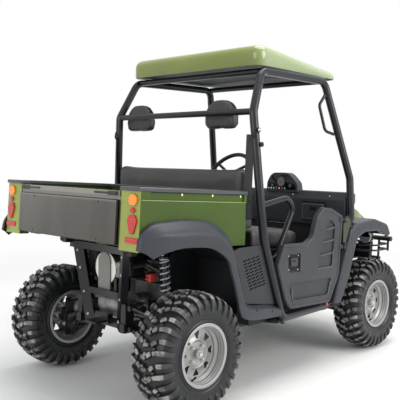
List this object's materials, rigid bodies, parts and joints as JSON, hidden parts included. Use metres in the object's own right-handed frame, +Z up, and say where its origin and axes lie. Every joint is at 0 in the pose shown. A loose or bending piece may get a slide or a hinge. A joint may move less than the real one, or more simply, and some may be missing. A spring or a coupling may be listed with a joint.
{
  "type": "side by side utility vehicle",
  "caption": "Side by side utility vehicle with a tipping cargo bed, drop tailgate, half doors, roll cage, bench seat and moulded roof.",
  "frame": {"origin": "on the ground under the middle of the vehicle's length and width", "axes": "+X to the front, +Y to the left, +Z up"},
  "size_m": [2.7662, 1.432, 2.0158],
  "materials": {
    "frame_black": "satin",
    "cage_black": "gloss",
    "engine_grey": "cast",
    "muffler_silver": "satin",
    "boot_rubber": "matte",
    "spring_white": "satin",
    "cast_iron": "rough",
    "plastic_black": "textured",
    "dash_grey": "textured",
    "seat_vinyl": "grained",
    "body_green": "gloss",
    "body_grey": "textured",
    "rail_silver": "satin",
    "gate_bronze": "satin",
    "latch_steel": "satin",
    "lens_amber": "gloss",
    "lens_red": "gloss",
    "lens_clear": "gloss",
    "tyre_rubber": "matte",
    "rim_silver": "satin"
  },
  "bodies": {
    "chassis": {"frame": "frame_black", "rear_subframe": "frame_black", "front_subframe": "frame_black", "front_guard": "frame_black", "steering_rack": "frame_black", "steering_column": "frame_black", "door_hinges": "frame_black", "suspension_arms": "frame_black", "controls": "frame_black", "cage_left": "cage_black", "cage_right": "cage_black", "cage_bars": "cage_black", "hip_hoops": "cage_black", "grab_handle": "cage_black", "engine": "engine_grey", "gearboxes": "engine_grey", "muffler": "muffler_silver", "axle_shafts": "boot_rubber", "shocks": "spring_white", "rear_knuckles": "cast_iron", "floor_pan": "plastic_black", "seat_base": "plastic_black", "wheel_liners": "plastic_black", "front_panel": "plastic_black", "dash": "dash_grey", "seat_cushion": "seat_vinyl", "seat_back": "seat_vinyl", "headrests": "seat_vinyl", "roof": "body_green", "hood": "body_green", "cowl_panels": "body_green", "front_fenders": "body_grey", "rear_flares": "body_grey", "vent_panels": "body_grey", "headlamps": "lens_clear"},
    "front_knuckle_left": {"front_knuckle_left": "cast_iron"},
    "front_knuckle_right": {"front_knuckle_right": "cast_iron"},
    "steering_wheel": {"steering_wheel": "plastic_black"},
    "tie_rods": {"tie_rods": "cast_iron"},
    "wheel_rear_left": {"tyre_rear_left": "tyre_rubber", "rim_rear_left": "rim_silver"},
    "wheel_rear_right": {"tyre_rear_right": "tyre_rubber", "rim_rear_right": "rim_silver"},
    "wheel_front_left": {"tyre_front_left": "tyre_rubber", "rim_front_left": "rim_silver"},
    "wheel_front_right": {"tyre_front_right": "tyre_rubber", "rim_front_right": "rim_silver"},
    "door_left": {"door_left": "body_grey"},
    "door_right": {"door_right": "body_grey"},
    "bed": {"bed": "body_green", "bed_rails": "rail_silver", "turn_lamps": "lens_amber", "tail_lamps": "lens_red"},
    "tailgate": {"tailgate": "gate_bronze", "gate_latches": "latch_steel"},
    "glovebox_lid": {"glovebox_lid": "dash_grey"}
  },
  "joints": [
    {"name": "steer_left", "type": "hinge", "parent": "chassis", "child": "front_knuckle_left", "pos_m": [0.843, 0.465, 0.317], "axis": [0, 0, 1], "range_deg": [-30, 30]},
    {"name": "steer_right", "type": "hinge", "parent": "chassis", "child": "front_knuckle_right", "pos_m": [0.843, -0.465, 0.317], "axis": [0, 0, 1], "range_deg": [-30, 30]},
    {"name": "steering_wheel_turn", "type": "hinge", "parent": "chassis", "child": "steering_wheel", "pos_m": [0.328, 0.33, 1.218], "axis": [-0.788, 0, 0.6157], "range_deg": [-270, 270]},
    {"name": "rack_slide", "type": "slide", "parent": "chassis", "child": "tie_rods", "axis": [0, 1, 0], "range_m": [-0.0485, 0.0485]},
    {"name": "wheel_rear_left_spin", "type": "hinge", "parent": "chassis", "child": "wheel_rear_left", "pos_m": [-0.982, 0.583, 0.317], "axis": [0, 1, 0], "continuous": true},
    {"name": "wheel_rear_right_spin", "type": "hinge", "parent": "chassis", "child": "wheel_rear_right", "pos_m": [-0.982, -0.583, 0.317], "axis": [0, 1, 0], "continuous": true},
    {"name": "wheel_front_left_spin", "type": "hinge", "parent": "front_knuckle_left", "child": "wheel_front_left", "pos_m": [0.843, 0.556, 0.317], "axis": [0, 1, 0], "continuous": true},
    {"name": "wheel_front_right_spin", "type": "hinge", "parent": "front_knuckle_right", "child": "wheel_front_right", "pos_m": [0.843, -0.556, 0.317], "axis": [0, 1, 0], "continuous": true},
    {"name": "door_left_swing", "type": "hinge", "parent": "chassis", "child": "door_left", "pos_m": [0.331, 0.69, 0.856], "axis": [0, 0, -1], "range_deg": [0, 70]},
    {"name": "door_right_swing", "type": "hinge", "parent": "chassis", "child": "door_right", "pos_m": [0.331, -0.69, 0.856], "axis": [0, 0, 1], "range_deg": [0, 70]},
    {"name": "bed_tip", "type": "hinge", "parent": "chassis", "child": "bed", "pos_m": [-1.15872, 0, 0.83766], "axis": [0, -1, 0], "range_deg": [0, 40]},
    {"name": "tailgate_drop", "type": "hinge", "parent": "bed", "child": "tailgate", "pos_m": [-1.35256, 0, 0.89053], "axis": [0, -1, 0], "range_deg": [0, 90]},
    {"name": "glovebox_open", "type": "hinge", "parent": "chassis", "child": "glovebox_lid", "pos_m": [0.456, -0.355, 0.912], "axis": [0, -1, 0], "range_deg": [0, 75]}
  ],
  "couplings": [
    {"joint": "steer_right", "follows": "steer_left", "ratio": 1},
    {"joint": "steering_wheel_turn", "follows": "steer_left", "ratio": 9},
    {"joint": "rack_slide", "follows": "steer_left", "m_per_rad": 0.092}
  ]
}
